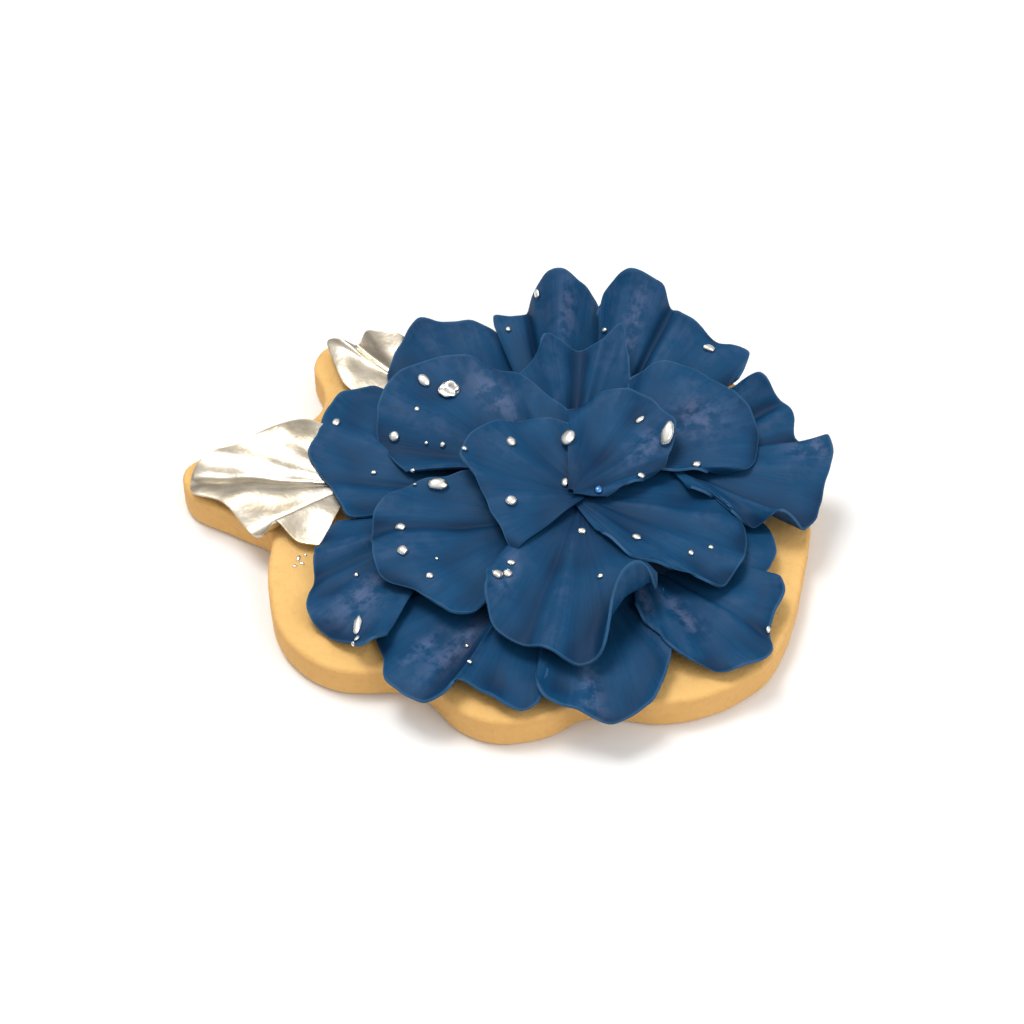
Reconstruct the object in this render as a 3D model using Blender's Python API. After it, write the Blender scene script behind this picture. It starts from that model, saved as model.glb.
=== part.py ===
"""An iced sugar cookie: a lobed biscuit carrying a ruffled sugar-paste flower and two leaves.

Every petal and leaf is a thin sheet of sugar paste shaped like a fan: it spreads from a root near
the middle of the flower out to a rim that rises and falls. The rims are given by a few knots, the
sheets are laid one after the other, and each sheet is lifted wherever it would touch the ones
below it. Lengths in the tables are millimetres, bearings are degrees round the flower's axis, with
0 at +X and 90 at +Y. The origin is on the underside of the biscuit, on the flower's axis.
"""

import math

import bpy
import numpy as np

MM = 0.001

# ---------------------------------------------------------------- driving sizes (millimetres)
BISCUIT_THICKNESS = 6.0
BISCUIT_TOP_ROUND = 0.8         # radius of the rounded upper edge
BISCUIT_FOOT_ROUND = 1.0        # radius of the rounded lower edge
BISCUIT_SIDES = 92              # points round the outline
ROUND_STEPS = 3                 # facets across each rounded edge

PASTE_THICKNESS = 0.8           # rolled thickness of the sugar paste
CLEARANCE = 0.4                 # air kept between two sheets
RIM_FACET = 3.3                 # facet length along a rim
FAN_STEPS = 6                   # rows of points between a sheet's root and its rim
ROOT_START = 0.10               # share of the way to the rim at which a sheet begins
LEAN = 1.3                      # how late a sheet rises towards its rim's mean height
CROWN = 0.6                     # how far a sheet bulges between root and rim

RELIEF_CELL = 0.5               # cell of the height map of what is already laid
RELIEF_HALF = 66.0              # half the side of that map
FACET_SAMPLES = 7               # test points along each side of a facet
LAYING_ROUNDS = 40

# ---------------------------------------------------------------- biscuit outline
# (bearing, reach): the lobed outline, read anticlockwise from the right-hand side
BISCUIT_OUTLINE = [
    (0, 36.5), (14, 38), (30, 39), (48, 39.5), (66, 38), (82, 35), (98, 36), (112, 38), (124, 41.5),
    (131, 49), (136, 53.5), (141, 52), (145, 47), (151, 45.5), (159, 50), (164, 56), (169, 60.5),
    (174, 58.5), (178, 51), (182, 45.5), (190, 46.3), (202, 47.5), (211, 46.8), (219, 43.8), (227, 38),
    (234, 36.5), (245, 38.5), (254, 38.4), (264, 36), (273, 32.8), (282, 33.4), (291, 35.8), (300, 37.4),
    (309, 38.4), (319, 38.6), (332, 37.2), (346, 36),
]

# ---------------------------------------------------------------- sheets, in the order they are laid
# name, root (x, y, height), how late the rim's waves set in, rim as (bearing, reach, height)
LEAVES = [
    ("leaf_left", (-33.0, 6.0, 8.0), 2.2, [
        (188, 38, 7.5), (186.5, 41.5, 8), (182, 44.5, 9.5), (183.5, 47.5, 7.5), (176.5, 53.5, 7.5),
        (175, 58, 7.5), (170.5, 59, 7), (167, 57, 8), (165, 53, 9), (160, 48.5, 9.5), (157.5, 43, 11.5),
        (156, 38, 10)]),
    ("leaf_back", (-22.5, 25.0, 7.5), 2.2, [
        (143, 37, 8), (142.5, 44.5, 7.5), (139.5, 49, 8), (137, 52.5, 9), (135.5, 50, 10.5),
        (134, 48, 8.5), (132, 47.5, 11.5), (127.5, 44, 11.5), (124, 40, 9)]),
]

OUTER_PETALS = [
    ("outer_back_left", (-6.0, 9.0, 8.0), 2.6, [
        (139, 36, 7.5), (135, 40.5, 8), (130, 42, 10), (124, 43, 12.5), (118, 40.5, 13), (112, 39, 13),
        (108, 38, 11.5), (103, 35, 10)]),
    ("outer_right_low", (8.0, -1.0, 8.0), 2.6, [
        (334, 29, 9), (339, 31.5, 9.5), (346, 31.5, 9.5), (354, 30, 9.5), (4, 27, 9.5)]),
    ("outer_back", (-2.0, 10.0, 8.0), 1.9, [
        (108.5, 37, 12.5), (107.5, 39, 13), (101, 38, 13.5), (98.5, 39.5, 16.5), (95, 40.7, 19.5),
        (91.5, 39.7, 19.5), (86, 39.3, 17), (82.5, 39, 14), (77, 36, 11.5)]),
    ("outer_back_right", (3.0, 10.0, 8.0), 1.9, [
        (82.5, 36, 14.5), (82, 39.5, 16.5), (79, 41, 18), (74, 42, 19), (69.5, 43, 18.5),
        (66.5, 41, 16), (63, 40, 14.5), (58, 40.5, 13.5), (52, 41.5, 12.5), (47.5, 42.5, 11),
        (45.5, 38, 9)]),
    ("outer_front_left", (-5.0, -10.0, 8.0), 2.6, [
        (211, 32, 7.5), (218, 36.5, 7.5), (224, 38.5, 8), (228, 41, 8), (233, 41.5, 8), (238, 41, 8),
        (241.5, 38.5, 8.5), (243, 36, 10), (246.5, 35.5, 9.5), (250, 36, 8.5), (254, 37, 8),
        (259, 37, 8), (262, 35, 8.5), (262.5, 30, 9)]),
    ("outer_front", (2.0, -9.0, 8.0), 2.6, [
        (259, 28, 9.5), (260, 32, 9), (263, 35.5, 8.5), (270, 36.5, 8), (278, 38.5, 8), (284, 37.5, 8),
        (288, 36.5, 8.5), (292, 34, 9), (297, 31, 9.5), (303, 26, 9.5), (312, 20, 9.5)]),
    ("outer_front_right", (9.0, -8.0, 8.0), 2.6, [
        (296, 21, 10.5), (295.5, 25, 10.5), (298, 29.5, 9.5), (301, 33, 9), (306, 36.5, 8.5),
        (312, 38.5, 8.5), (318.5, 39, 9), (322, 36.5, 9.5), (327, 35.5, 9.5), (332, 35.5, 9.5),
        (336, 33.5, 10), (338, 29, 10)]),
    ("outer_left_low", (-17.0, -1.0, 8.5), 2.6, [
        (178, 30, 8), (183, 35.5, 8.5), (190, 39, 9), (193.5, 39.3, 9.5), (198, 40.5, 8.5),
        (203, 42.5, 9), (208, 43.3, 9), (213, 42, 8.5), (217, 40.5, 9), (221, 40.5, 10),
        (221.5, 36, 10.5)]),
    ("outer_left", (-10.0, 4.0, 8.5), 2.6, [
        (139, 34, 10.5), (142, 38.5, 10.5), (147, 42, 10.5), (152, 42, 10.5), (159, 41.5, 10),
        (166, 41.5, 9.5), (171, 37.5, 9), (177, 35, 8.5), (182, 33.5, 8.5), (182, 27, 9)]),
]

MIDDLE_PETALS = [
    ("middle_back", (0.0, 9.0, 11.0), 2.6, [
        (114, 21, 13.5), (109, 24, 15), (103, 25, 16), (96.5, 28, 18.5), (88, 27, 18), (80, 28, 18.5),
        (75, 31.5, 19), (71.5, 28, 17.5), (67, 23.5, 15.5), (63, 18, 14)]),
    ("middle_left", (-4.0, 6.0, 11.0), 2.6, [
        (165, 26, 10.5), (157, 32, 11), (149, 34.5, 12.5), (142, 35.5, 13.5), (135, 35, 14),
        (127, 33.5, 14.5), (119, 30.5, 14.5), (110, 24.5, 14.5), (100, 19, 14.5), (88, 15, 14)]),
    ("middle_front_left", (-4.0, -4.0, 11.0), 2.6, [
        (164, 15, 14), (172, 21, 14.5), (178, 26, 14), (185, 29.5, 13), (195, 31, 12.5), (206, 32, 12),
        (213, 30, 12), (222, 28, 12), (230, 28, 11.5), (236, 25.5, 12), (238, 20, 12.5)]),
    ("middle_front", (1.5, 0.0, 12.5), 2.6, [
        (224, 14, 13.5), (230, 19.5, 14.5), (238, 24, 13.5), (246, 27.5, 12), (260, 28.5, 11.5),
        (271, 31, 11), (278, 29.5, 12), (283, 28, 13.5), (290, 26, 14.5), (299, 25, 14.5),
        (308, 20, 13.5)]),
    ("middle_front_right", (-1.0, 0.5, 12.5), 2.6, [
        (295, 8, 13.5), (303, 11.5, 13.5), (306, 16, 13), (314, 20, 13.5), (320, 25, 12.5),
        (324, 27.5, 12), (332, 28, 12.5), (340, 27.5, 12.5), (349, 26.5, 12), (357, 24, 11.5),
        (10, 19.5, 11.5), (25, 16, 11.5), (40, 12, 11.5)]),
]

RIGHT_PETALS = [
    ("outer_right", (13.0, 9.0, 10.5), 2.6, [
        (46, 33, 9.5), (42, 34, 11.5), (37.5, 37, 15), (32, 37.8, 15), (27, 38.3, 13.5),
        (20, 37, 11.5), (16.5, 41, 13.5), (11, 40.5, 13), (4, 38.5, 11.5), (357, 37, 9.5),
        (353.5, 35.3, 9), (353.5, 33.3, 11.5), (353.5, 30.5, 12.5), (351.5, 27.5, 9.5),
        (353.5, 24.5, 10.5), (0.5, 21.2, 12.5), (2.5, 18.2, 12.5)]),
    ("middle_right", (7.0, 7.0, 12.0), 2.6, [
        (66, 23, 14.5), (63, 28, 15), (53, 31, 15.5), (40, 31.5, 15), (28, 31.5, 14.5), (18, 30.5, 14),
        (11, 27.5, 13), (12.5, 23.5, 12.5), (15.5, 19.5, 13.5), (16, 17, 13.5), (24, 12, 13.5)]),
]

INNER_PETALS = [
    ("inner_left", (2.5, -1.0, 14.0), 2.2, [
        (92, 10.5, 17), (111, 13, 17.5), (134, 15.5, 18), (151, 17, 18), (166, 17.5, 17.5),
        (176, 15, 17), (190, 13.5, 16), (208, 13, 15), (222, 13.5, 14), (233, 14.5, 13.5)]),
    ("inner_right", (-0.5, -1.5, 14.0), 2.2, [
        (92, 14.5, 16.5), (76, 17.5, 18), (61, 19, 18), (52, 19.5, 18), (42, 19.5, 17.5), (31, 18.5, 16.5),
        (17, 15, 15.5), (8, 10.5, 15), (345, 5.5, 14.5)]),
]

# ---------------------------------------------------------------- colours (linear), roughness, metallic
BISCUIT_LOOK = ((0.76, 0.46, 0.14), 0.8, 0.0)
PETAL_LOOK = ((0.022, 0.09, 0.20), 0.5, 0.0)
LEAF_LOOK = ((0.66, 0.60, 0.52), 0.3, 1.0)


# ---------------------------------------------------------------- helpers
def material(name, look):
    colour, roughness, metallic = look
    mat = bpy.data.materials.new(name)
    mat.use_nodes = True
    shader = mat.node_tree.nodes["Principled BSDF"]
    shader.inputs["Base Color"].default_value = (*colour, 1.0)
    shader.inputs["Roughness"].default_value = roughness
    shader.inputs["Metallic"].default_value = metallic
    return mat


def add_object(name, points, faces, mat):
    """Make a mesh object from points in millimetres."""
    mesh = bpy.data.meshes.new(name)
    mesh.from_pydata([tuple(p) for p in np.asarray(points) * MM], [], faces)
    mesh.materials.append(mat)
    obj = bpy.data.objects.new(name, mesh)
    bpy.context.scene.collection.objects.link(obj)
    mesh.shade_smooth()
    mesh.set_sharp_from_angle(angle=math.radians(40))
    return obj


def polar(bearing, reach):
    angle = math.radians(bearing)
    return reach * math.cos(angle), reach * math.sin(angle)


def smooth_curve(knots, closed=False, per_span=24):
    """Catmull-Rom curve through the knots, as many close points."""
    knots = np.asarray(knots, float)
    if closed:
        padded = np.vstack([knots[-1:], knots, knots[:2]])
    else:
        padded = np.vstack([2 * knots[0] - knots[1], knots, 2 * knots[-1] - knots[-2]])
    u = np.linspace(0, 1, per_span, endpoint=False)[:, None]
    spans = []
    for a, b, c, d in zip(padded, padded[1:], padded[2:], padded[3:]):
        spans.append(0.5 * (2 * b + (c - a) * u + (2 * a - 5 * b + 4 * c - d) * u ** 2
                            + (3 * b - a - 3 * c + d) * u ** 3))
    if not closed:
        spans.append(knots[-1:])
    return np.vstack(spans)


def even_points(curve, count, closed=False):
    """The given number of points, equally far apart along a curve."""
    if closed:
        curve = np.vstack([curve, curve[:1]])
    steps = np.linalg.norm(np.diff(curve, axis=0), axis=1)
    along = np.concatenate([[0], np.cumsum(steps)])
    places = np.linspace(0, along[-1], count, endpoint=not closed)
    return np.column_stack([np.interp(places, along, axis) for axis in curve.T])


def curve_length(curve):
    return float(np.linalg.norm(np.diff(curve, axis=0), axis=1).sum())


# ---------------------------------------------------------------- biscuit
def biscuit_rings():
    """(inset, height) of each ring, from the underside up over the rounded edges."""
    rings = []
    for step in range(ROUND_STEPS + 1):
        angle = math.pi / 2 * step / ROUND_STEPS
        rings.append((BISCUIT_FOOT_ROUND * (1 - math.sin(angle)), BISCUIT_FOOT_ROUND * (1 - math.cos(angle))))
    for step in range(ROUND_STEPS + 1):
        angle = math.pi / 2 * step / ROUND_STEPS
        rings.append((BISCUIT_TOP_ROUND * (1 - math.cos(angle)),
                      BISCUIT_THICKNESS - BISCUIT_TOP_ROUND * (1 - math.sin(angle))))
    return rings


def build_biscuit():
    knots = [polar(bearing, reach) for bearing, reach in BISCUIT_OUTLINE]
    outline = even_points(smooth_curve(knots, closed=True), BISCUIT_SIDES, closed=True)
    along = np.roll(outline, -1, axis=0) - np.roll(outline, 1, axis=0)
    inward = np.column_stack([-along[:, 1], along[:, 0]])
    inward /= np.linalg.norm(inward, axis=1)[:, None]
    points = []
    for inset, height in biscuit_rings():
        for x, y in outline + inward * inset:
            points.append((x, y, height))
    rings = len(points) // BISCUIT_SIDES
    faces = []
    for ring in range(rings - 1):
        for i in range(BISCUIT_SIDES):
            j = (i + 1) % BISCUIT_SIDES
            low, high = ring * BISCUIT_SIDES, (ring + 1) * BISCUIT_SIDES
            faces.append((low + i, low + j, high + j, high + i))
    faces.append(tuple(reversed(range(BISCUIT_SIDES))))
    faces.append(tuple(range((rings - 1) * BISCUIT_SIDES, rings * BISCUIT_SIDES)))
    return add_object("biscuit", points, faces, material("baked_dough", BISCUIT_LOOK))


# ---------------------------------------------------------------- sheets of sugar paste
class Relief:
    """Height map of everything laid so far."""

    def __init__(self, floor):
        side = int(2 * RELIEF_HALF / RELIEF_CELL)
        self.height = np.full((side, side), floor)

    def cells(self, points):
        index = ((points[..., :2] + RELIEF_HALF) / RELIEF_CELL).astype(int)
        return index[..., 0], index[..., 1]

    def at(self, points):
        return self.height[self.cells(points)]

    def cover(self, points):
        """Raise the map to these points, and to the cells next to them."""
        x, y = self.cells(points)
        for dx in (-1, 0, 1):
            for dy in (-1, 0, 1):
                np.maximum.at(self.height, (x + dx, y + dy), points[..., 2])


def fan(root, cup, rim_knots):
    """Grid of points: rows run along the rim, columns from the root to the rim."""
    knots = [(*polar(bearing, reach), height) for bearing, reach, height in rim_knots]
    curve = smooth_curve(knots)
    rim = even_points(curve, int(curve_length(curve) / RIM_FACET) + 1)
    spoke = rim[:, :2] - root[:2]
    turn = spoke[:-1, 0] * spoke[1:, 1] - spoke[:-1, 1] * spoke[1:, 0]
    if turn.sum() > 0:
        rim = rim[::-1]
    share = np.linspace(ROOT_START, 1, FAN_STEPS)[None, :, None]
    grid = np.asarray(root) + (rim[:, None, :] - root) * share
    mean = rim[:, 2].mean()
    wave = rim[:, None, 2] - mean
    t = share[..., 0]
    grid[..., 2] = root[2] + (mean - root[2]) * t ** LEAN + wave * t ** cup + CROWN * 4 * t * (1 - t)
    return grid


def facet_samples(grid):
    """Points spread over both triangles of each facet; shape (rows - 1, columns - 1, samples, 3)."""
    a, b, c, d = grid[:-1, :-1], grid[1:, :-1], grid[1:, 1:], grid[:-1, 1:]
    steps = np.linspace(0, 1, FACET_SAMPLES)
    samples = []
    for u in steps:
        for v in steps:
            if u >= v:
                samples.append(a * (1 - u) + b * (u - v) + c * v)
            else:
                samples.append(a * (1 - v) + d * (v - u) + c * u)
    return np.stack(samples, axis=2)


def spread_to_corners(facet_values, shape):
    """The largest value among the facets that meet at each point of the grid."""
    corners = np.zeros(shape)
    for rows in (slice(0, -1), slice(1, None)):
        for columns in (slice(0, -1), slice(1, None)):
            corners[rows, columns] = np.maximum(corners[rows, columns], facet_values)
    return corners


def soften(lift):
    """Average of each value with its neighbours in the grid."""
    padded = np.pad(lift, 1, mode="edge")
    return (padded[1:-1, :-2] + padded[1:-1, 2:] + padded[:-2, 1:-1] + padded[2:, 1:-1]) / 4


def lay(grid, relief):
    """Lift a sheet until it clears what lies below it, in soft swells."""
    lift = np.zeros(grid.shape[:2])
    laid = grid.copy()
    for _ in range(LAYING_ROUNDS):
        samples = facet_samples(laid)
        wanted = relief.at(samples) + CLEARANCE + PASTE_THICKNESS - samples[..., 2]
        lacking = spread_to_corners(np.clip(wanted.max(axis=2), 0, None), lift.shape)
        if lacking.max() < CLEARANCE / 10:
            break
        lift = lift + lacking
        lift = np.maximum(lift, soften(lift))
        laid[..., 2] = grid[..., 2] + lift
    relief.cover(facet_samples(laid))
    return laid


def sheet_solid(name, grid, mat):
    """Close a laid grid into a solid: the same grid again below it, and a band round the edge."""
    rows, columns = grid.shape[:2]
    top = grid.reshape(-1, 3)
    bottom = top - (0, 0, PASTE_THICKNESS)
    under = len(top)
    faces = []
    for i in range(rows - 1):
        for j in range(columns - 1):
            a, b = i * columns + j, (i + 1) * columns + j
            c, d = b + 1, a + 1
            faces += [(a, b, c), (a, c, d)]
            faces += [(under + c, under + b, under + a), (under + d, under + c, under + a)]
    loop = [j for j in range(columns)]
    loop += [i * columns + columns - 1 for i in range(1, rows)]
    loop += [(rows - 1) * columns + j for j in range(columns - 2, -1, -1)]
    loop += [i * columns for i in range(rows - 2, 0, -1)]
    for a, b in zip(loop, loop[1:] + loop[:1]):
        faces += [(a, b, under + b), (a, under + b, under + a)]
    return add_object(name, np.vstack([top, bottom]), faces, mat)


def build_sheets():
    relief = Relief(BISCUIT_THICKNESS)
    petal = material("petal_paste", PETAL_LOOK)
    leaf = material("silvered_paste", LEAF_LOOK)
    layers = [(LEAVES, leaf), (OUTER_PETALS, petal), (MIDDLE_PETALS, petal), (RIGHT_PETALS, petal),
              (INNER_PETALS, petal)]
    for sheets, mat in layers:
        for name, root, cup, rim in sheets:
            sheet_solid(name, lay(fan(root, cup, rim), relief), mat)


def main():
    for obj in list(bpy.data.objects):
        bpy.data.objects.remove(obj, do_unlink=True)
    build_biscuit()
    build_sheets()


main()
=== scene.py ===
"""Looks of the iced sugar cookie: a baked biscuit, a ruffled flower and two leaves of sugar paste, and
silver beads. Tables are in millimetres and degrees; meshes and nodes are in metres.

The sheets of paste are laid again here with a fine grid, by the same rule as in the frame: each one is
a fan from its root to its rim, and is lifted in soft swells where it would touch what lies below it.
"""

import math
import random

import bmesh
import bpy
import numpy as np
from mathutils import Matrix, Vector, noise


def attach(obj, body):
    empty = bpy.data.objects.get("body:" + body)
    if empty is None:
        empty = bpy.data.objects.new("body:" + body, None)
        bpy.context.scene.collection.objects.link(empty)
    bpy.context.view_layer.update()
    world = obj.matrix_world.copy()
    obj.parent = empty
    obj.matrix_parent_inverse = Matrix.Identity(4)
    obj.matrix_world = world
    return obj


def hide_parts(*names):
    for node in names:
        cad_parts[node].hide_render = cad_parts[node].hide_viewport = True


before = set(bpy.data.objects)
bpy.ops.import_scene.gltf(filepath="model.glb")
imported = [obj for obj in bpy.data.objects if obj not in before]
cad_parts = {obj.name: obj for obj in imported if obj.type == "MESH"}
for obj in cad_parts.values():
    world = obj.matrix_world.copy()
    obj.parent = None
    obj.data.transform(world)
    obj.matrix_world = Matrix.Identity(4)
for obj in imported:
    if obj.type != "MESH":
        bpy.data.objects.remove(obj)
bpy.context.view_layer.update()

MM = 0.001

# ---------------------------------------------------------------- sizes (millimetres)
BISCUIT_THICKNESS = 6.0
BISCUIT_TOP_ROUND = 0.8
BISCUIT_FOOT_ROUND = 1.1
BISCUIT_SIDES = 300
ROUND_STEPS = 7
TOP_RINGS = 40

PASTE_THICKNESS = 0.42
CLEARANCE = 0.3
RIM_FACET = 0.55
FAN_STEPS = 44
ROOT_START = 0.05
LEAN = 1.7
CROWN = 0.4
RELIEF_CELL = 0.3
RELIEF_HALF = 66.0
LAYING_ROUNDS = 30
LIP = 3.2                       # how much of every rim turns a little up or down
DENT_SPAN = 6.5                 # distance between two soft dents in a sheet
DENT_DEPTH = 0.9
SWELL = 10                      # how many times a lift is spread to its neighbours in each round
LAST_SWELL = 25                 # and once it is laid
EDGE_ROUND = 0.12               # radius of a sheet's rounded rim
EDGE_WAVE = 0.22                # how far the biscuit's edge wanders

CORE_SETBACK = 4.5              # how far the core stays behind the rims
CORE_DROP = 1.0                 # and below the sheets
CORE_REACH = 31.0
CORE_FADE = 5.0
CORE_STEP = 0.6
CORE_FOOT = 5.0                 # it is sunk into the biscuit

# ---------------------------------------------------------------- biscuit outline (bearing, reach)
BISCUIT_OUTLINE = [
    (0, 36.5), (14, 38), (30, 39), (48, 39.5), (66, 38), (82, 35), (98, 36), (112, 38), (124, 41.5),
    (131, 49), (136, 53.5), (141, 52), (145, 47), (151, 45.5), (159, 50), (164, 56), (169, 60.5),
    (174, 58.5), (178, 51), (182, 45.5), (190, 46.3), (202, 47.5), (211, 46.8), (219, 43.8), (227, 38),
    (234, 36.5), (245, 38.5), (254, 38.4), (264, 36), (273, 32.8), (282, 33.4), (291, 35.8), (300, 37.4),
    (309, 38.4), (319, 38.6), (332, 37.2), (346, 36),
]

# ---------------------------------------------------------------- sheets, in the order they are laid
# name, root (x, y, height), cup, rim as (bearing, reach, height),
# folds as (place along the rim 0 to 1, width, height; below 0 is a groove),
# rolled edges as (place, width, degrees turned up, length rolled)
LEAVES = [
    ("leaf_left", (-33.0, 6.0, 8.0), 2.2, [
        (188, 38, 7.5), (186.5, 41.5, 8), (182, 44.5, 9.5), (183.5, 47.5, 7.5), (176.5, 53.5, 7.5),
        (175, 58, 7.5), (170.5, 59, 7), (167, 57, 8), (165, 53, 9), (160, 48.5, 9.5), (157.5, 43, 11.5),
        (156, 38, 10)],
        [(0.52, 0.03, -0.9), (0.36, 0.07, 0.5), (0.24, 0.04, -0.9), (0.72, 0.1, 0.5)],
        []),
    ("leaf_back", (-22.5, 25.0, 7.5), 2.2, [
        (143, 37, 8), (142.5, 44.5, 7.5), (139.5, 49, 8), (137, 52.5, 9), (135.5, 50, 10.5),
        (134, 48, 8.5), (132, 47.5, 11.5), (127.5, 44, 11.5), (124, 40, 9)],
        [(0.55, 0.05, -0.8), (0.3, 0.1, 0.4)],
        []),
]

OUTER_PETALS = [
    ("outer_back_left", (-6.0, 9.0, 8.0), 2.6, [
        (139, 36, 7.5), (135, 40.5, 8), (130, 42, 10), (124, 43, 12.5), (118, 40.5, 13), (112, 39, 13),
        (108, 38, 11.5), (103, 35, 10)],
        [(0.45, 0.08, 0.6)],
        []),
    ("outer_right_low", (8.0, -1.0, 8.0), 2.6, [
        (334, 29, 9), (339, 31.5, 9.5), (346, 31.5, 9.5), (354, 30, 9.5), (4, 27, 9.5)],
        [],
        []),
    ("outer_back", (-2.0, 10.0, 8.0), 1.9, [
        (108.5, 37, 12.5), (107.5, 39, 13), (101, 38, 13.5), (98.5, 39.5, 16.5), (95, 40.7, 19.5),
        (91.5, 39.7, 19.5), (86, 39.3, 17), (82.5, 39, 14), (77, 36, 11.5)],
        [(0.28, 0.05, -1.6), (0.55, 0.09, 1.8)],
        []),
    ("outer_back_right", (3.0, 10.0, 8.0), 1.9, [
        (82.5, 36, 14.5), (82, 39.5, 16.5), (79, 41, 18), (74, 42, 19), (69.5, 43, 18.5),
        (66.5, 41, 16), (63, 40, 14.5), (58, 40.5, 13.5), (52, 41.5, 12.5), (47.5, 42.5, 11),
        (45.5, 38, 9)],
        [(0.22, 0.07, 1.6), (0.47, 0.05, -1.8)],
        []),
    ("outer_front_left", (-5.0, -10.0, 8.0), 2.6, [
        (211, 32, 7.5), (218, 36.5, 7.5), (224, 38.5, 8), (228, 41, 8), (233, 41.5, 8), (238, 41, 8),
        (241.5, 38.5, 8.5), (243, 36, 10), (246.5, 35.5, 9.5), (250, 36, 8.5), (254, 37, 8),
        (259, 37, 8), (262, 35, 8.5), (262.5, 30, 9)],
        [(0.56, 0.035, 1.6), (0.46, 0.05, -0.8)],
        []),
    ("outer_front", (2.0, -9.0, 8.0), 2.6, [
        (259, 28, 9.5), (260, 32, 9), (263, 35.5, 8.5), (270, 36.5, 8), (278, 38.5, 8), (284, 37.5, 8),
        (288, 36.5, 8.5), (292, 34, 9), (297, 31, 9.5), (303, 26, 9.5), (312, 20, 9.5)],
        [(0.3, 0.06, 0.8), (0.72, 0.05, 0.7)],
        []),
    ("outer_front_right", (9.0, -8.0, 8.0), 2.6, [
        (296, 21, 10.5), (295.5, 25, 10.5), (298, 29.5, 9.5), (301, 33, 9), (306, 36.5, 8.5),
        (312, 38.5, 8.5), (318.5, 39, 9), (322, 36.5, 9.5), (327, 35.5, 9.5), (332, 35.5, 9.5),
        (336, 33.5, 10), (338, 29, 10)],
        [(0.3, 0.07, 0.6), (0.66, 0.04, -0.8)],
        []),
    ("outer_left_low", (-17.0, -1.0, 8.5), 2.6, [
        (178, 30, 8), (183, 35.5, 8.5), (190, 39, 9), (193.5, 39.3, 9.5), (198, 40.5, 8.5),
        (203, 42.5, 9), (208, 43.3, 9), (213, 42, 8.5), (217, 40.5, 9), (221, 40.5, 10),
        (221.5, 36, 10.5)],
        [(0.35, 0.06, 0.9), (0.55, 0.05, -0.8)],
        []),
    ("outer_left", (-10.0, 4.0, 8.5), 2.6, [
        (139, 34, 10.5), (142, 38.5, 10.5), (147, 42, 10.5), (152, 42, 10.5), (159, 41.5, 10),
        (166, 41.5, 9.5), (171, 37.5, 9), (177, 35, 8.5), (182, 33.5, 8.5), (182, 27, 9)],
        [(0.4, 0.06, 0.8), (0.66, 0.05, -1.0)],
        []),
]

MIDDLE_PETALS = [
    ("middle_back", (0.0, 9.0, 11.0), 2.6, [
        (114, 21, 13.5), (109, 24, 15), (103, 25, 16), (96.5, 28, 18.5), (88, 27, 18), (80, 28, 18.5),
        (75, 31.5, 19), (71.5, 28, 17.5), (67, 23.5, 15.5), (63, 18, 14)],
        [(0.42, 0.06, -2.0), (0.26, 0.05, 0.9)],
        []),
    ("middle_left", (-4.0, 6.0, 11.0), 2.6, [
        (165, 26, 10.5), (157, 32, 11), (149, 34.5, 12.5), (142, 35.5, 13.5), (135, 35, 14),
        (127, 33.5, 14.5), (119, 30.5, 14.5), (110, 24.5, 14.5), (100, 19, 14.5), (88, 15, 14)],
        [(0.12, 0.07, -1.7), (0.3, 0.07, 0.8), (0.6, 0.07, 0.7)],
        []),
    ("middle_front_left", (-4.0, -4.0, 11.0), 2.6, [
        (164, 15, 14), (172, 21, 14.5), (178, 26, 14), (185, 29.5, 13), (195, 31, 12.5), (206, 32, 12),
        (213, 30, 12), (222, 28, 12), (230, 28, 11.5), (236, 25.5, 12), (238, 20, 12.5)],
        [(0.4, 0.035, -1.2), (0.52, 0.08, 0.8), (0.28, 0.08, 0.5)],
        []),
    ("middle_front", (1.5, 0.0, 12.5), 2.6, [
        (224, 14, 13.5), (230, 19.5, 14.5), (238, 24, 13.5), (246, 27.5, 12), (260, 28.5, 11.5),
        (271, 31, 11), (278, 29.5, 12), (283, 28, 13.5), (290, 26, 14.5), (299, 25, 14.5),
        (308, 20, 13.5)],
        [(0.3, 0.06, 0.6), (0.5, 0.05, 0.8), (0.41, 0.03, -0.5)],
        [(0.79, 0.12, 150, 6.5)]),
    ("middle_front_right", (-1.0, 0.5, 12.5), 2.6, [
        (295, 8, 13.5), (303, 11.5, 13.5), (306, 16, 13), (314, 20, 13.5), (320, 25, 12.5),
        (324, 27.5, 12), (332, 28, 12.5), (340, 27.5, 12.5), (349, 26.5, 12), (357, 24, 11.5),
        (10, 19.5, 11.5), (25, 16, 11.5), (40, 12, 11.5)],
        [(0.3, 0.05, 0.7), (0.5, 0.04, -0.6), (0.6, 0.04, 0.8)],
        []),
]

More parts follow.
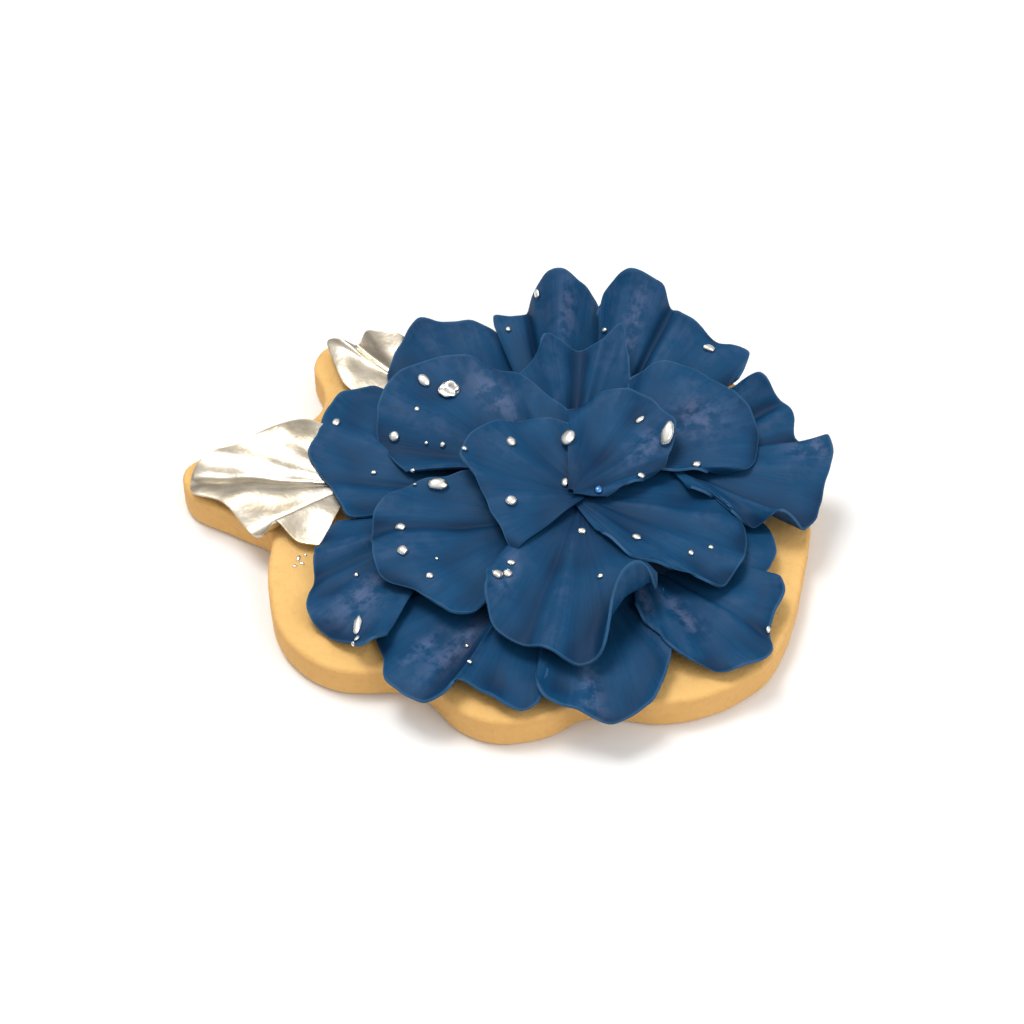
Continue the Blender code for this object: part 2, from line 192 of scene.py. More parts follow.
RIGHT_PETALS = [
    ("outer_right", (13.0, 9.0, 10.5), 2.6, [
        (46, 33, 9.5), (42, 34, 11.5), (37.5, 37, 15), (32, 37.8, 15), (27, 38.3, 13.5),
        (20, 37, 11.5), (16.5, 41, 13.5), (11, 40.5, 13), (4, 38.5, 11.5), (357, 37, 9.5),
        (353.5, 35.3, 9), (353.5, 33.3, 11.5), (353.5, 30.5, 12.5), (351.5, 27.5, 9.5),
        (353.5, 24.5, 10.5), (0.5, 21.2, 12.5), (2.5, 18.2, 12.5)],
        [(0.2, 0.035, -2.4), (0.34, 0.03, -1.0), (0.5, 0.05, 0.9), (0.74, 0.03, 0.8)],
        []),
    ("middle_right", (7.0, 7.0, 12.0), 2.6, [
        (66, 23, 14.5), (63, 28, 15), (53, 31, 15.5), (40, 31.5, 15), (28, 31.5, 14.5), (18, 30.5, 14),
        (11, 27.5, 13), (12.5, 23.5, 12.5), (15.5, 19.5, 13.5), (16, 17, 13.5), (24, 12, 13.5)],
        [(0.25, 0.07, 0.6), (0.45, 0.08, 0.6)],
        []),
]

INNER_PETALS = [
    ("inner_left", (2.5, -1.0, 14.0), 2.2, [
        (92, 10.5, 17), (111, 13, 17.5), (134, 15.5, 18), (151, 17, 18), (166, 17.5, 17.5),
        (176, 15, 17), (190, 13.5, 16), (208, 13, 15), (222, 13.5, 14), (233, 14.5, 13.5)],
        [(0.4, 0.07, 0.5), (0.75, 0.06, 0.7)],
        []),
    ("inner_right", (-0.5, -1.5, 14.0), 2.2, [
        (92, 14.5, 16.5), (76, 17.5, 18), (61, 19, 18), (52, 19.5, 18), (42, 19.5, 17.5), (31, 18.5, 16.5),
        (17, 15, 15.5), (8, 10.5, 15), (345, 5.5, 14.5)],
        [(0.35, 0.05, -0.8), (0.55, 0.05, 0.9), (0.7, 0.04, -0.6)],
        []),
]

# patches rubbed with pale dust, which also stand as painted highlight: (place along the rim, place from root
# to rim, width, length)
DUST_AND_HIGHLIGHT_PATCHES = {
    "outer_back": [(0.6, 0.8, 0.06, 0.2)],
    "outer_back_right": [(0.3, 0.75, 0.06, 0.2)],
    "outer_front_left": [(0.4, 0.62, 0.05, 0.25), (0.3, 0.75, 0.05, 0.15)],
    "outer_front": [(0.33, 0.85, 0.05, 0.2)],
    "outer_front_right": [(0.12, 0.6, 0.07, 0.3), (0.4, 0.5, 0.1, 0.2)],
    "outer_left_low": [(0.7, 0.7, 0.1, 0.2)],
    "middle_left": [(0.62, 0.65, 0.1, 0.25)],
    "middle_front": [(0.2, 0.78, 0.07, 0.15)],
    "outer_right": [(0.42, 0.88, 0.06, 0.15)],
    "middle_right": [(0.4, 0.65, 0.12, 0.2)],
    "inner_right": [(0.55, 0.72, 0.1, 0.2)],
}

# silver drops: (x, y, length, width, turn), each dropped on whatever lies under it
BEADS = [
    (-22.5, 22.5, 2.4, 1.7, -50), (-23.5, 17, 0.9, 0.9, 0), (-27, 13, 1.7, 1.7, 0), (-22, 11.5, 0.6, 0.6, 0),
    (-19.5, 11, 0.9, 0.9, 0), (-24, 6.5, 0.8, 0.7, 0), (-23.5, 1.5, 0.6, 0.6, 0), (-16, 5, 0.9, 0.9, 0),
    (-9, 7, 1.7, 1.7, 0), (-0.5, 8, 2.8, 2.2, 60), (-9, -3.5, 1.8, 1.7, 0), (-1, 1, 1.6, 1.2, 90),
    (10.5, 12, 1.6, 0.9, 35), (14.5, 8.5, 4.0, 2.0, 70), (10.5, 2, 1.2, 1.1, 0), (-5, 38, 1.5, 1.0, 80),
    (-9.5, 34.5, 0.9, 0.9, 0), (5.5, 32.5, 1.0, 0.8, 0), (22, 31, 2.0, 1.3, -10), (19, 6, 1.4, 1.2, 0),
    (1.5, -7, 1.4, 1.2, 0), (9.5, -8.5, 1.5, 1.2, -20), (17.5, -11, 0.9, 0.9, 0), (20.5, -10, 0.8, 0.8, 0),
    (4, -16, 0.9, 0.8, 20), (-36, 16.5, 1.6, 1.3, 60), (-30, 7.5, 0.9, 0.7, 0), (-20, 1.5, 3.1, 2.0, 0),
    (-25.5, -5.5, 1.6, 1.4, 0), (-25, -11, 1.7, 1.6, 0), (-20, -11.5, 0.5, 0.5, 0), (-21, -15, 1.2, 1.1, 0),
    (-11, -16, 1.7, 1.5, 0), (-9.5, -15.5, 1.5, 1.4, 0), (-9, -13.5, 1.3, 0.9, 0), (-32, -12, 0.8, 0.8, 0),
    (-31.5, -21.5, 3.1, 1.3, 80), (-31.5, -24, 1.1, 0.7, 60), (-32, -25.5, 0.8, 0.6, 60),
    (-15.5, -24.5, 0.6, 0.6, 0), (-15, -29, 0.8, 0.6, 0), (28.5, -22.5, 1.1, 0.8, 90),
]
BLUE_DROP = (4, -0.5, 1.4, 1.2, 90)
HOLLOW_NUGGET = (-18.5, 21, 3.2, 2.8, 20)
LEAF_CRUMBS = [
    (-41, -6.5, 1.1, 0.6, 70), (-40.5, -7.5, 1.0, 0.5, -30), (-41.5, -8, 0.8, 0.5, 20), (-40, -6, 0.6, 0.4, 0),
]


# ---------------------------------------------------------------- shader maths
class Wire:
    """A socket that can be used in sums."""

    def __init__(self, tree, socket):
        self.tree = tree
        self.socket = socket

    def _maths(self, operation, *values):
        return self.tree.node("ShaderNodeMath", {"operation": operation}, dict(enumerate(values)))

    def __add__(self, other):
        return self._maths("ADD", self, other)

    def __radd__(self, other):
        return self._maths("ADD", other, self)

    def __sub__(self, other):
        return self._maths("SUBTRACT", self, other)

    def __rsub__(self, other):
        return self._maths("SUBTRACT", other, self)

    def __mul__(self, other):
        return self._maths("MULTIPLY", self, other)

    def __rmul__(self, other):
        return self._maths("MULTIPLY", other, self)

    def __truediv__(self, other):
        return self._maths("DIVIDE", self, other)

    def __pow__(self, other):
        return self._maths("POWER", self, other)

    def clamped(self):
        return self.tree.node("ShaderNodeClamp", {}, {"Value": self})

    def between(self, low, high):
        """0 below low, 1 above high, smooth between."""
        settings = {"interpolation_type": "SMOOTHSTEP"}
        values = {"Value": self, "From Min": low, "From Max": high}
        return self.tree.node("ShaderNodeMapRange", settings, values)


class Finish:
    """A material's node tree, with one method that adds any node."""

    def __init__(self, name):
        self.material = bpy.data.materials.new(name)
        self.material.use_nodes = True
        self.nodes = self.material.node_tree.nodes
        self.links = self.material.node_tree.links
        self.shader = self.nodes["Principled BSDF"]

    def node(self, kind, settings, values, output=0):
        new = self.nodes.new(kind)
        for key, value in settings.items():
            setattr(new, key, value)
        for key, value in values.items():
            self.put(new.inputs[key], value)
        return Wire(self, new.outputs[output])

    def put(self, socket, value):
        if isinstance(value, Wire):
            self.links.new(value.socket, socket)
        elif socket.type == "RGBA":
            socket.default_value = (*value, 1.0)
        else:
            socket.default_value = value

    def set(self, **values):
        for key, value in values.items():
            self.put(self.shader.inputs[key.replace("_", " ")], value)

    def place(self):
        return self.node("ShaderNodeTexCoord", {}, {}, "Object")

    def spread(self):
        return self.node("ShaderNodeUVMap", {"uv_map": "fan"}, {})

    def attribute(self, name):
        return self.node("ShaderNodeAttribute", {"attribute_name": name}, {}, "Fac")

    def stretched(self, vector, scale):
        return self.node("ShaderNodeMapping", {}, {"Vector": vector, "Scale": scale})

    def noise(self, vector, scale, detail=3.0, roughness=0.5):
        values = {"Vector": vector, "Scale": scale, "Detail": detail, "Roughness": roughness}
        return self.node("ShaderNodeTexNoise", {}, values)

    def mix(self, factor, a, b):
        settings = {"data_type": "RGBA", "clamp_factor": True}
        return self.node("ShaderNodeMix", settings, {0: factor, 6: a, 7: b}, 2)

    def bump(self, height, distance, strength=1.0, normal=None):
        values = {"Height": height, "Distance": distance, "Strength": strength}
        if normal is not None:
            values["Normal"] = normal
        return self.node("ShaderNodeBump", {}, values)


def linear(red, green, blue):
    """Screen colour 0 to 255 as a linear colour."""
    def one(value):
        v = value / 255
        return v / 12.92 if v <= 0.04045 else ((v + 0.055) / 1.055) ** 2.4
    return one(red), one(green), one(blue)


# ---------------------------------------------------------------- finishes
def petal_paste():
    """Satin navy sugar paste with fine radial streaks, a lilac dust on its raised folds that is partly painted
    highlight, painted shade in its valleys and towards its root, and a painted highlight along its rim.
    """
    f = Finish("navy_petal_paste")
    deep = linear(6, 50, 86)
    navy = linear(18, 82, 124)
    painted_shade_blue = linear(4, 32, 62)
    lilac_dust_highlight = linear(122, 132, 170)
    rim_highlight_blue = linear(66, 112, 150)
    spread = f.spread()
    place = f.place()
    streaks = f.noise(f.stretched(spread, (60, 3, 1)), 1.0, 4.0, 0.6)
    clouds = f.noise(place, 110.0, 3.0)
    dust_and_highlight = f.attribute("dust_and_highlight")
    rim = f.attribute("rim")
    base = f.mix(streaks.between(0.2, 0.8) * 0.3 + clouds * 0.5, deep, navy)
    # painted shade: darker in the hollows of the folds and towards the root, where shade falls; the core has
    # no rim attribute, so it reads as all root and gets this painted shade too
    painted_shade_mask = (f.attribute("hollow") * 0.65 + (1.0 - rim).between(0.3, 1.0) * 0.6).clamped()
    shaded = f.mix(painted_shade_mask, base, painted_shade_blue)
    # lilac dust, partly painted highlight: paler on raised ridges and in patches where light falls
    patchy = f.noise(place, 420.0, 4.0, 0.6).between(0.38, 0.62) * (0.35 + streaks * 0.9)
    dusted_and_highlighted = f.mix((dust_and_highlight * patchy).clamped() * 0.42, shaded, lilac_dust_highlight)
    # painted highlight: a lighter line along the very rim, where its edge would catch the light
    colour = f.mix(rim.between(0.985, 1.0) * 0.35, dusted_and_highlighted, rim_highlight_blue)
    grain = f.noise(place, 2600.0, 2.0)
    veins = f.noise(f.stretched(spread, (110, 5, 1)), 1.0, 3.0, 0.55)
    f.set(Base_Color=colour, Roughness=0.5 + streaks * 0.14 - dust_and_highlight * 0.06, Specular_IOR_Level=0.16)
    f.set(Normal=f.bump(veins * clouds.between(0.4, 0.65), 0.00012, 0.6, f.bump(grain, 0.00002, 0.3)))
    return f.material


def silvered_paste():
    """Leaf paste rubbed with silver lustre, so its shine is soft and uneven; its warmer, darker patches are
    partly painted reflection.
    """
    f = Finish("silver_leaf_lustre")
    spread = f.spread()
    place = f.place()
    bright = linear(208, 198, 181)
    warm_lustre_and_reflection = linear(160, 146, 120)
    patches = f.noise(place, 170.0, 4.0, 0.55)
    streaks = f.noise(f.stretched(spread, (34, 3, 1)), 1.0, 4.0, 0.6)
    # warmer, darker patches: uneven lustre and painted darker reflection
    f.set(Base_Color=f.mix(patches.between(0.42, 0.7) * 0.6, bright, warm_lustre_and_reflection), Metallic=1.0)
    f.set(Roughness=0.27 + streaks * 0.06 + patches * 0.14)
    f.set(Normal=f.bump(patches, 0.0006, 0.4, f.bump(f.noise(place, 500.0, 2.0), 0.0002, 0.3)))
    return f.material


def silver_bead(name, colour):
    """Bright metal leaf pressed on small sugar drops."""
    f = Finish(name)
    place = f.place()
    crumple = f.noise(place, 900.0, 2.0)
    f.set(Base_Color=linear(*colour), Metallic=1.0, Roughness=0.18 + crumple * 0.16)
    f.set(Normal=f.bump(crumple, 0.0001, 0.35))
    return f.material


def baked_dough():
    """Pale golden biscuit with a fine crumb, darker on its side wall and where it rounds over to the top."""
    f = Finish("golden_dough")
    place = f.place()
    golden = linear(236, 188, 114)
    darker_dough = linear(224, 170, 100)
    pale = linear(240, 196, 124)
    clouds = f.noise(place, 60.0, 3.0)
    crumb = f.noise(place, 900.0, 4.0, 0.65)
    edge = f.attribute("edge")
    body = f.mix(clouds.between(0.35, 0.7) * 0.6, golden, pale)
    # darker on the side wall, most where it rounds over to the top
    dough_colour = f.mix((edge * 0.65 + crumb.between(0.48, 0.7) * 0.4).clamped(), body, darker_dough)
    f.set(Base_Color=dough_colour, Roughness=0.72 + crumb * 0.14, Specular_IOR_Level=0.3)
    f.set(Subsurface_Weight=0.1, Subsurface_Scale=0.002, Subsurface_Radius=(1.0, 0.6, 0.3))
    f.set(Normal=f.bump(crumb, 0.0004, 0.6, f.bump(clouds, 0.001, 0.3)))
    return f.material


# ---------------------------------------------------------------- curves
def polar(bearing, reach):
    angle = math.radians(bearing)
    return reach * math.cos(angle), reach * math.sin(angle)


def smooth_curve(knots, closed=False, per_span=40):
    """Catmull-Rom curve through the knots, as many close points."""
    knots = np.asarray(knots, float)
    if closed:
        padded = np.vstack([knots[-1:], knots, knots[:2]])
    else:
        padded = np.vstack([2 * knots[0] - knots[1], knots, 2 * knots[-1] - knots[-2]])
    u = np.linspace(0, 1, per_span, endpoint=False)[:, None]
    spans = []
    for a, b, c, d in zip(padded, padded[1:], padded[2:], padded[3:]):
        spans.append(0.5 * (2 * b + (c - a) * u + (2 * a - 5 * b + 4 * c - d) * u ** 2
                            + (3 * b - a - 3 * c + d) * u ** 3))
    if not closed:
        spans.append(knots[-1:])
    return np.vstack(spans)


def straight_curve(knots, per_span=40):
    """Straight lines through the knots, with as many points as the smooth curve has."""
    knots = np.asarray(knots, float)
    u = np.linspace(0, 1, per_span, endpoint=False)[:, None]
    return np.vstack([a + (b - a) * u for a, b in zip(knots, knots[1:])] + [knots[-1:]])


def even_points(curve, count, closed=False):
    """The given number of points, equally far apart along a curve."""
    if closed:
        curve = np.vstack([curve, curve[:1]])
    steps = np.linalg.norm(np.diff(curve, axis=0), axis=1)
    along = np.concatenate([[0], np.cumsum(steps)])
    places = np.linspace(0, along[-1], count, endpoint=not closed)
    return np.column_stack([np.interp(places, along, axis) for axis in curve.T])


def curve_length(curve):
    return float(np.linalg.norm(np.diff(curve, axis=0), axis=1).sum())


def wander(values, seed, scale):
    """Smooth noise between about -1 and 1 along a list of places."""
    return np.array([noise.noise(Vector((v / scale, seed * 7.31, seed * 1.7))) for v in values]) * 1.6


# ---------------------------------------------------------------- pieces
def to_mesh(name, bm):
    """Close a piece that was built in millimetres."""
    bmesh.ops.scale(bm, vec=(MM, MM, MM), verts=bm.verts)
    mesh = bpy.data.meshes.new(name)
    bm.to_mesh(mesh)
    bm.free()
    return mesh


def finish_piece(name, mesh, material, node):
    piece = bpy.data.objects.new(name, mesh)
    bpy.context.scene.collection.objects.link(piece)
    mesh.materials.append(material)
    mesh.shade_smooth()
    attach(piece, "root")
    if node:
        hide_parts(node)
    return piece


def biscuit_rings(outline, inward):
    """(points, height, how much darker) of each ring, from the foot up over the edge and in to the middle."""
    rings = []
    for step in range(1, ROUND_STEPS + 1):
        angle = math.pi / 2 * step / ROUND_STEPS
        inset = BISCUIT_FOOT_ROUND * (1 - math.sin(angle))
        rings.append((outline + inward * inset, BISCUIT_FOOT_ROUND * (1 - math.cos(angle)), 0.6))
    rings.append((outline, BISCUIT_THICKNESS / 2, 0.8))
    for step in range(ROUND_STEPS + 1):
        angle = math.pi / 2 * step / ROUND_STEPS
        inset = BISCUIT_TOP_ROUND * (1 - math.cos(angle))
        height = BISCUIT_THICKNESS - BISCUIT_TOP_ROUND * (1 - math.sin(angle))
        rings.append((outline + inward * inset, height, 1 - step / ROUND_STEPS))
    shoulder = outline + inward * BISCUIT_TOP_ROUND
    for ring in range(1, TOP_RINGS):
        rings.append((shoulder * (1 - ring / TOP_RINGS), BISCUIT_THICKNESS, 0.0))
    return rings


def bake(bm):
    """Soft swells and small dimples on top, and a slightly wavy edge."""
    for vert in bm.verts:
        co = vert.co
        if co.z > BISCUIT_THICKNESS * 0.3:
            swell = noise.noise(co * 0.07) * 0.08 + noise.noise(co * 0.3) * 0.04
            dimple = noise.noise(co * 1.1 + Vector((9, 3, 1))) * 0.04
            co.z += (swell + dimple) * min(1.0, co.z / BISCUIT_THICKNESS)
        if co.z > 0:
            wave = noise.noise(Vector((co.x * 0.22, co.y * 0.22, 5.0))) * EDGE_WAVE
            vert.co += Vector((co.x, co.y, 0)).normalized() * wave


def make_biscuit(material):
    """The outline is carried up the side ring by ring, then the top closes in to the middle."""
    knots = [polar(bearing, reach) for bearing, reach in BISCUIT_OUTLINE]
    outline = even_points(smooth_curve(knots, closed=True), BISCUIT_SIDES, closed=True)
    along = np.roll(outline, -2, axis=0) - np.roll(outline, 2, axis=0)
    inward = np.column_stack([-along[:, 1], along[:, 0]])
    inward /= np.linalg.norm(inward, axis=1)[:, None]

    bm = bmesh.new()
    edge = bm.verts.layers.float.new("edge")
    foot = bmesh.ops.create_circle(bm, cap_ends=True, segments=BISCUIT_SIDES, radius=1.0)["verts"]
    for vert, (x, y) in zip(foot, outline + inward * BISCUIT_FOOT_ROUND):
        vert.co = Vector((x, y, 0.0))
    for face in bm.faces:
        face.normal_flip()
    loop = list(bm.edges)
    for points, height, side_darkening in biscuit_rings(outline, inward):
        made = bmesh.ops.extrude_edge_only(bm, edges=loop)["geom"]
        verts = [g for g in made if isinstance(g, bmesh.types.BMVert)]
        new = set(verts)
        loop = [g for g in made if isinstance(g, bmesh.types.BMEdge) and new.issuperset(g.verts)]
        for vert, (x, y) in zip(verts, points):
            vert.co = Vector((x, y, height))
            vert[edge] = side_darkening
    middle = bm.verts.new((0.0, 0.0, BISCUIT_THICKNESS))
    for side in loop:
        bm.faces.new((*side.verts, middle))
    bmesh.ops.recalc_face_normals(bm, faces=bm.faces)
    bake(bm)
    return finish_piece("cookie_base", to_mesh("cookie_base", bm), material, "biscuit")


class Relief:
    """Height map of everything laid so far, with one number for each small cell."""

    def __init__(self, floor):
        side = int(2 * RELIEF_HALF / RELIEF_CELL)
        self.height = np.full((side, side), floor)

    def cells(self, points):
        index = ((points[..., :2] + RELIEF_HALF) / RELIEF_CELL).astype(int)
        return index[..., 0], index[..., 1]

    def at(self, points):
        return self.height[self.cells(points)]

    def cover(self, points):
        """Raise the map to these points, and to the cells next to them."""
        x, y = self.cells(points)
        for dx in (-1, 0, 1):
            for dy in (-1, 0, 1):
                np.maximum.at(self.height, (x + dx, y + dy), points[..., 2])


def fan(root, cup, rim_knots, folds, rolls, seed, frill):
    """Grid of points: rows run along the rim, columns from the root to the rim."""
    knots = [(*polar(bearing, reach), height) for bearing, reach, height in rim_knots]
    curve = (smooth_curve(knots) + straight_curve(knots)) / 2
    length = curve_length(curve)
    rim = even_points(curve, int(length / RIM_FACET) + 1)
    rim[1:-1] = (rim[:-2] + 2 * rim[1:-1] + rim[2:]) / 4
    places = np.linspace(0, 1, len(rim))
    along = places * length
    spoke = rim[:, :2] - root[:2]
    turn = spoke[:-1, 0] * spoke[1:, 1] - spoke[:-1, 1] * spoke[1:, 0]
    reach = np.linalg.norm(spoke, axis=1)[:, None]
    outward = spoke / reach
    rim[:, :2] += outward * (wander(along, seed + 40, 3.0) * 0.25 * frill)[:, None]
    rim[:, 2] += wander(along, seed, 5.0) * 0.35 * frill
    t = np.linspace(ROOT_START, 1, FAN_STEPS)[None, :]
    grid = np.asarray(root) + (rim[:, None, :] - root) * t[..., None]
    mean = rim[:, 2].mean()
    wave = rim[:, None, 2] - mean
    grid[..., 2] = root[2] + (mean - root[2]) * t ** LEAN + wave * t ** cup + CROWN * 4 * t * (1 - t)
    for place, width, height in folds:
        ridge = np.exp(-((places - place) / width) ** 2)[:, None]
        grid[..., 2] += height * ridge * t ** 1.5 * (2.0 - t)
    grid[..., 2] += (wander(along, seed + 80, 2.2)[:, None] * 0.04 * np.sin(np.pi * t ** 0.7)) * frill
    grid[..., 2] += dents(grid, seed) * t ** 0.5
    lip = (wander(along, seed + 120, 6.0) * 0.75 * frill)[:, None]
    roll_edge(grid, t * reach, reach, outward, lip, LIP)
    for place, width, degrees, rolled in rolls:
        amount = np.exp(-((places - place) / width) ** 4)[:, None]
        roll_edge(grid, t * reach, reach, outward, amount * math.radians(degrees), rolled)
    if turn.sum() > 0:
        return grid[::-1], places[::-1]
    return grid, places


def dents(grid, seed):
    """Soft dents that fingers leave in a sheet, wherever they fall."""
    places = grid[..., :2].reshape(-1, 2) / DENT_SPAN
    depth = [noise.noise(Vector((x, y, seed * 3.1))) for x, y in places]
    return DENT_DEPTH * np.array(depth).reshape(grid.shape[:2])


def roll_edge(grid, gone, reach, outward, angle, rolled):
    """Bend the last stretch of each ray into an arc that turns up by the given angle."""
    path = np.clip(gone - (reach - rolled), 0, rolled)
    bend = np.where(np.abs(angle) < 0.001, 0.001, angle) / rolled
    grid[..., :2] += outward[:, None, :] * (np.sin(bend * path) / bend - path)[..., None]
    grid[..., 2] += (1 - np.cos(bend * path)) / bend


def soften(values, times):
    """Average of each value with its neighbours in the grid."""
    for _ in range(times):
        p = np.pad(values, 1, mode="edge")
        values = (p[1:-1, :-2] + p[1:-1, 2:] + p[:-2, 1:-1] + p[2:, 1:-1]) / 4
    return values


def lay(grid, relief):
    """Lift a sheet until it clears what lies below it, in soft swells."""
    lift = np.zeros(grid.shape[:2])
    laid = grid.copy()
    for _ in range(LAYING_ROUNDS):
        lacking = np.clip(relief.at(laid) + CLEARANCE + PASTE_THICKNESS - laid[..., 2], 0, None)
        if lacking.max() < CLEARANCE / 4:
            break
        lift = lift + lacking
        lift = np.maximum(lift, soften(lift, SWELL))
        laid[..., 2] = grid[..., 2] + lift
    laid[..., 2] = grid[..., 2] + soften(lift, LAST_SWELL)
    halfway = (laid[1:, 1:] + laid[:-1, :-1]) / 2
    relief.cover(laid)
    relief.cover(halfway)
    return laid


def dust_highlight_and_shade(laid, places, patches):
    """How much pale dust and painted highlight each place of a sheet holds: its ridges, and the patches rubbed
    on it; and how much painted shade its valleys hold.
    """
    # raised ridges get pale dust and painted highlight
    proud = laid[..., 2] - soften(laid[..., 2], 60)
    dusted_and_highlighted = np.clip(proud / 0.35, 0, 1) * 0.2
    along = places[:, None]
    out = np.linspace(0, 1, laid.shape[1])[None, :]
    for place, outward, width, length in patches:
        spot = np.exp(-((along - place) / width) ** 2 - ((out - outward) / length) ** 2)
        dusted_and_highlighted = np.maximum(dusted_and_highlighted, spot)
    # the second map is painted shade in the valleys of the sheet
    return dusted_and_highlighted, np.clip(-proud / 0.5, 0, 1)


def sheet_piece(name, node, laid, dusted_and_highlighted, painted_valley_shade, material):
    """A flat grid is bent to the laid points and given the thickness of the paste."""
    rows, columns = laid.shape[:2]
    bm = bmesh.new()
    uv = bm.loops.layers.uv.new("fan")
    # dust: pale dust, partly painted highlight on ridges and lit patches
    dust_and_highlight = bm.verts.layers.float.new("dust_and_highlight")
    # hollow: painted shade in the valleys of the sheet
    hollow = bm.verts.layers.float.new("hollow")
    rim = bm.verts.layers.float.new("rim")
    bmesh.ops.create_grid(bm, x_segments=rows - 1, y_segments=columns - 1, size=0.5)
    places = {}
    for vert in bm.verts:
        u, v = vert.co.x + 0.5, vert.co.y + 0.5
        i, j = round(u * (rows - 1)), round(v * (columns - 1))
        places[vert] = (u, v)
        vert[dust_and_highlight] = dusted_and_highlighted[i, j]
        vert[hollow] = painted_valley_shade[i, j]
        vert[rim] = v
        vert.co = Vector(laid[i, j])
    for face in bm.faces:
        for corner in face.loops:
            corner[uv].uv = places[corner.vert]
    bmesh.ops.recalc_face_normals(bm, faces=bm.faces)
    if sum(face.normal.z for face in bm.faces) < 0:
        bmesh.ops.reverse_faces(bm, faces=bm.faces)
    piece = finish_piece(name, to_mesh(name, bm), material, node)
    body = piece.modifiers.new("thickness", "SOLIDIFY")
    body.thickness = PASTE_THICKNESS * MM
    body.offset = -1.0
    rounding = piece.modifiers.new("rounded_edge", "BEVEL")
    rounding.width = EDGE_ROUND * MM
    rounding.segments = 2
    rounding.limit_method = "ANGLE"
    rounding.angle_limit = math.radians(50)
    return piece


def make_sheets(petal, leaf):
    relief = Relief(BISCUIT_THICKNESS)
    layers = [(LEAVES, leaf, "silvered_paste", 0.2), (OUTER_PETALS, petal, "petal_paste", 1.0),
              (MIDDLE_PETALS, petal, "petal_paste", 1.0), (RIGHT_PETALS, petal, "petal_paste", 1.0),
              (INNER_PETALS, petal, "petal_paste", 1.0)]
    seed = 1
    for sheets, material, slot, frill in layers:
        for node, root, cup, rim, folds, rolls in sheets:
            grid, places = fan(root, cup, rim, folds, rolls, seed, frill)
            laid = lay(grid, relief)
            dusted_and_highlighted, painted_valley_shade = dust_highlight_and_shade(laid, places, DUST_AND_HIGHLIGHT_PATCHES.get(node, []))
            sheet_piece(node + "_paste", node, laid, dusted_and_highlighted, painted_valley_shade, material)
            seed += 1
    return relief


def make_core(relief, material):
    """The heap of paste the petals are stuck to: it stays under them, set back from their rims."""
    heap = relief.height
    reach = int(CORE_SETBACK / RELIEF_CELL)
    for axis in (0, 1):
        heap = np.minimum.reduce([np.roll(heap, step, axis) for step in range(-reach, reach + 1)])
    heap = soften(heap - CORE_DROP, 40)
    bm = bmesh.new()
    cells = int(2 * CORE_REACH / CORE_STEP)
    bmesh.ops.create_grid(bm, x_segments=cells, y_segments=cells, size=CORE_REACH)
    top = {}
    for vert in bm.verts:
        inside = min(1.0, max(0.0, (CORE_REACH - vert.co.xy.length) / CORE_FADE))
        height = float(heap[relief.cells(np.array(vert.co))])
        top[vert] = CORE_FOOT + max(0.0, height - CORE_FOOT) * inside
    flat = [face for face in bm.faces if max(top[vert] for vert in face.verts) < BISCUIT_THICKNESS]
    bmesh.ops.delete(bm, geom=flat, context="FACES")
    raised = {(vert.co.x, vert.co.y): top[vert] for vert in bm.verts}
    made = bmesh.ops.extrude_face_region(bm, geom=bm.faces[:], use_keep_orig=True)["geom"]
    upper = {g for g in made if isinstance(g, bmesh.types.BMVert)}
    for vert in bm.verts:
        height = raised[(vert.co.x, vert.co.y)]
        vert.co.z = max(height, CORE_FOOT + CORE_STEP / 2) if vert in upper else CORE_FOOT
    bmesh.ops.recalc_face_normals(bm, faces=bm.faces)
    finish_piece("flower_core", to_mesh("flower_core", bm), material, None)


def make_drops(name, drops, relief, material, hollow=0.0):
    """Flattened drops of silver, each a little uneven, resting on the sheets."""
    rng = random.Random(5)
    bm = bmesh.new()
    for x, y, length, width, turn in drops:
        made = bmesh.ops.create_icosphere(bm, subdivisions=3 + (hollow > 0), radius=0.5)["verts"]
        lump = rng.uniform(0, 50)
        for vert in made:
            push = noise.noise(vert.co * 3.0 + Vector((lump, 0, 0)))
            dent = math.exp(-(vert.co.xy.length / 0.24) ** 2) if vert.co.z > 0 else 0.0
            vert.co *= 1 + push * (0.12 + hollow * 0.5)
            vert.co.z -= dent * hollow
        bmesh.ops.scale(bm, vec=(length, width, width * 0.65), verts=made)
        height = float(relief.at(np.array([x, y, 0.0])))
        for turned in (Matrix.Rotation(math.radians(turn), 3, "Z"), rest_slope(relief, x, y)):
            bmesh.ops.rotate(bm, cent=(0, 0, 0), matrix=turned, verts=made)
        bmesh.ops.translate(bm, vec=(x, y, height + width * 0.08), verts=made)
    finish_piece(name, to_mesh(name, bm), material, None)


def rest_slope(relief, x, y):
    """Rotation that tips a bead onto the slope below it."""
    step = 3 * RELIEF_CELL

    def height(px, py):
        return float(relief.at(np.array([px, py, 0.0])))
    across = height(x - step, y) - height(x + step, y)
    along = height(x, y - step) - height(x, y + step)
    normal = Vector((across, along, 2 * step))
    return Vector((0, 0, 1)).rotation_difference(normal.normalized()).to_matrix()


# ---------------------------------------------------------------- studio
def make_studio():
    bpy.ops.mesh.primitive_plane_add(size=3.0, location=(0, 0, -0.0001))
    floor = bpy.context.object
    floor.name = "studio_floor"
    f = Finish("white_floor")
    f.set(Base_Color=(0.93, 0.93, 0.93), Roughness=0.9, Specular_IOR_Level=0.1)
    floor.data.materials.append(f.material)

    make_room()
    add_lamp("key", (-0.26, 0.20, 1.10), 0.40, 6.8)
    add_lamp("fill", (0.75, -0.50, 0.85), 0.8, 4.0)


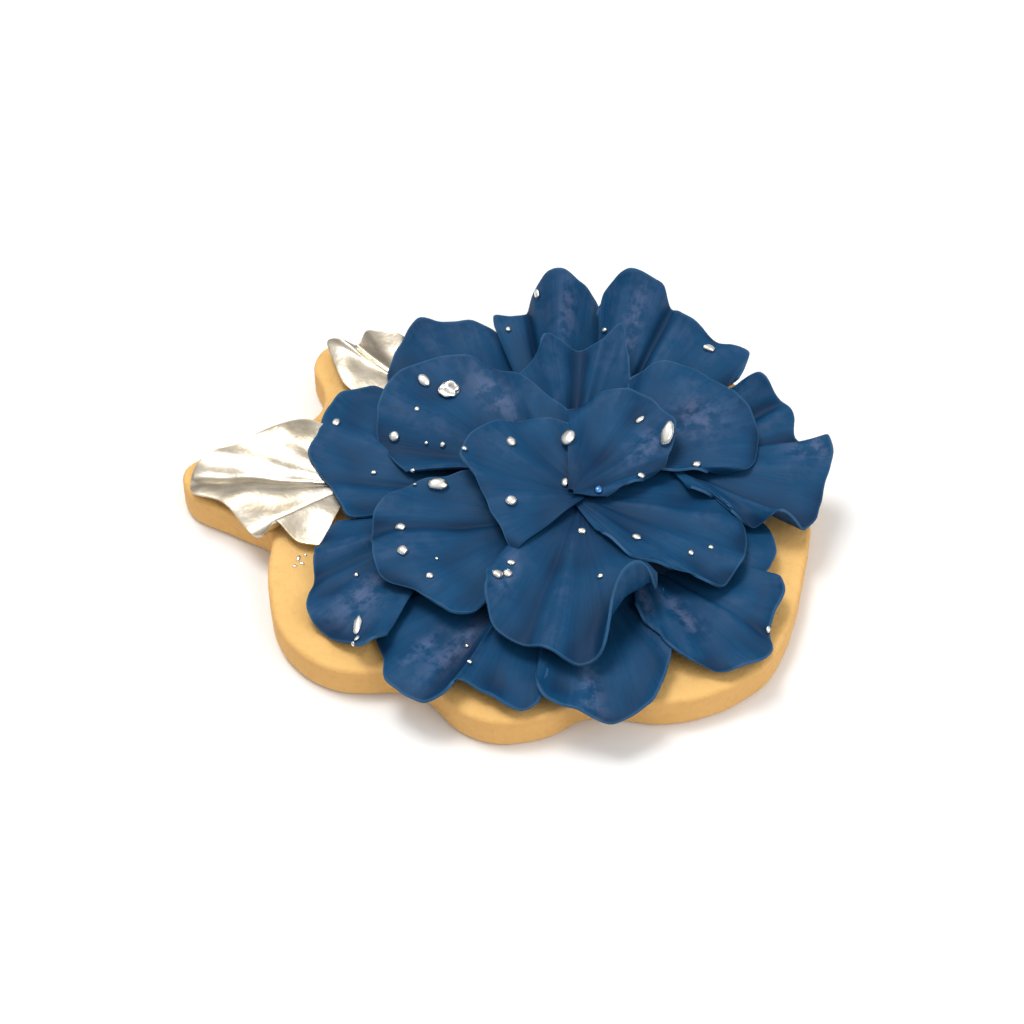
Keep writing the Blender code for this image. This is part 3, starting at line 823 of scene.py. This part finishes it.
def make_room():
    """Light room: bright above, greyer towards the horizon, so shiny leaves have something to show."""
    world = bpy.data.worlds.new("soft_room")
    world.use_nodes = True
    nodes, links = world.node_tree.nodes, world.node_tree.links
    sky = nodes["Background"]
    direction = nodes.new("ShaderNodeTexCoord")
    split = nodes.new("ShaderNodeSeparateXYZ")
    ramp = nodes.new("ShaderNodeMapRange")
    ramp.interpolation_type = "SMOOTHSTEP"
    for key, value in {"From Min": 0.1, "From Max": 0.9, "To Min": 0.26, "To Max": 0.8}.items():
        ramp.inputs[key].default_value = value
    links.new(direction.outputs["Generated"], split.inputs[0])
    links.new(split.outputs["Z"], ramp.inputs["Value"])
    links.new(ramp.outputs[0], sky.inputs["Strength"])
    sky.inputs["Color"].default_value = (1, 1, 1, 1)
    bpy.context.scene.world = world


def add_lamp(name, place, size, power):
    data = bpy.data.lights.new(name, "AREA")
    data.shape = "SQUARE"
    data.size = size
    data.energy = power
    lamp = bpy.data.objects.new(name, data)
    lamp.location = place
    lamp.rotation_euler = (-Vector(place)).to_track_quat("-Z", "Y").to_euler()
    bpy.context.scene.collection.objects.link(lamp)


def make_camera():
    """Looks down at the cookie from the front at fifty degrees."""
    elevation = math.radians(50)
    distance = 0.450
    aim = Vector((-0.0089, 0.0076, 0.0))
    back = Vector((0, -math.cos(elevation), math.sin(elevation)))
    data = bpy.data.cameras.new("camera")
    data.lens = 102
    data.sensor_width = 36
    data.clip_start = 0.01
    camera = bpy.data.objects.new("camera", data)
    camera.location = aim + back * distance
    camera.rotation_euler = (-back).to_track_quat("-Z", "Y").to_euler()
    bpy.context.scene.collection.objects.link(camera)
    bpy.context.scene.camera = camera


# ---------------------------------------------------------------- build
bpy.context.scene.view_settings.view_transform = "Standard"
make_camera()
make_studio()
make_biscuit(baked_dough())
petal = petal_paste()
relief = make_sheets(petal, silvered_paste())
# the core takes the petal finish and, having no rim attribute, the painted shade of the petal roots
make_core(relief, petal)
bead_leaf = silver_bead("silver_bead_leaf", (244, 241, 234))
make_drops("silver_beads", BEADS, relief, bead_leaf)
make_drops("silver_nugget", [HOLLOW_NUGGET], relief, bead_leaf, hollow=0.6)
make_drops("silver_crumbs", LEAF_CRUMBS, relief, bead_leaf)
make_drops("blue_bead", [BLUE_DROP], relief, silver_bead("blue_bead_leaf", (96, 152, 214)))
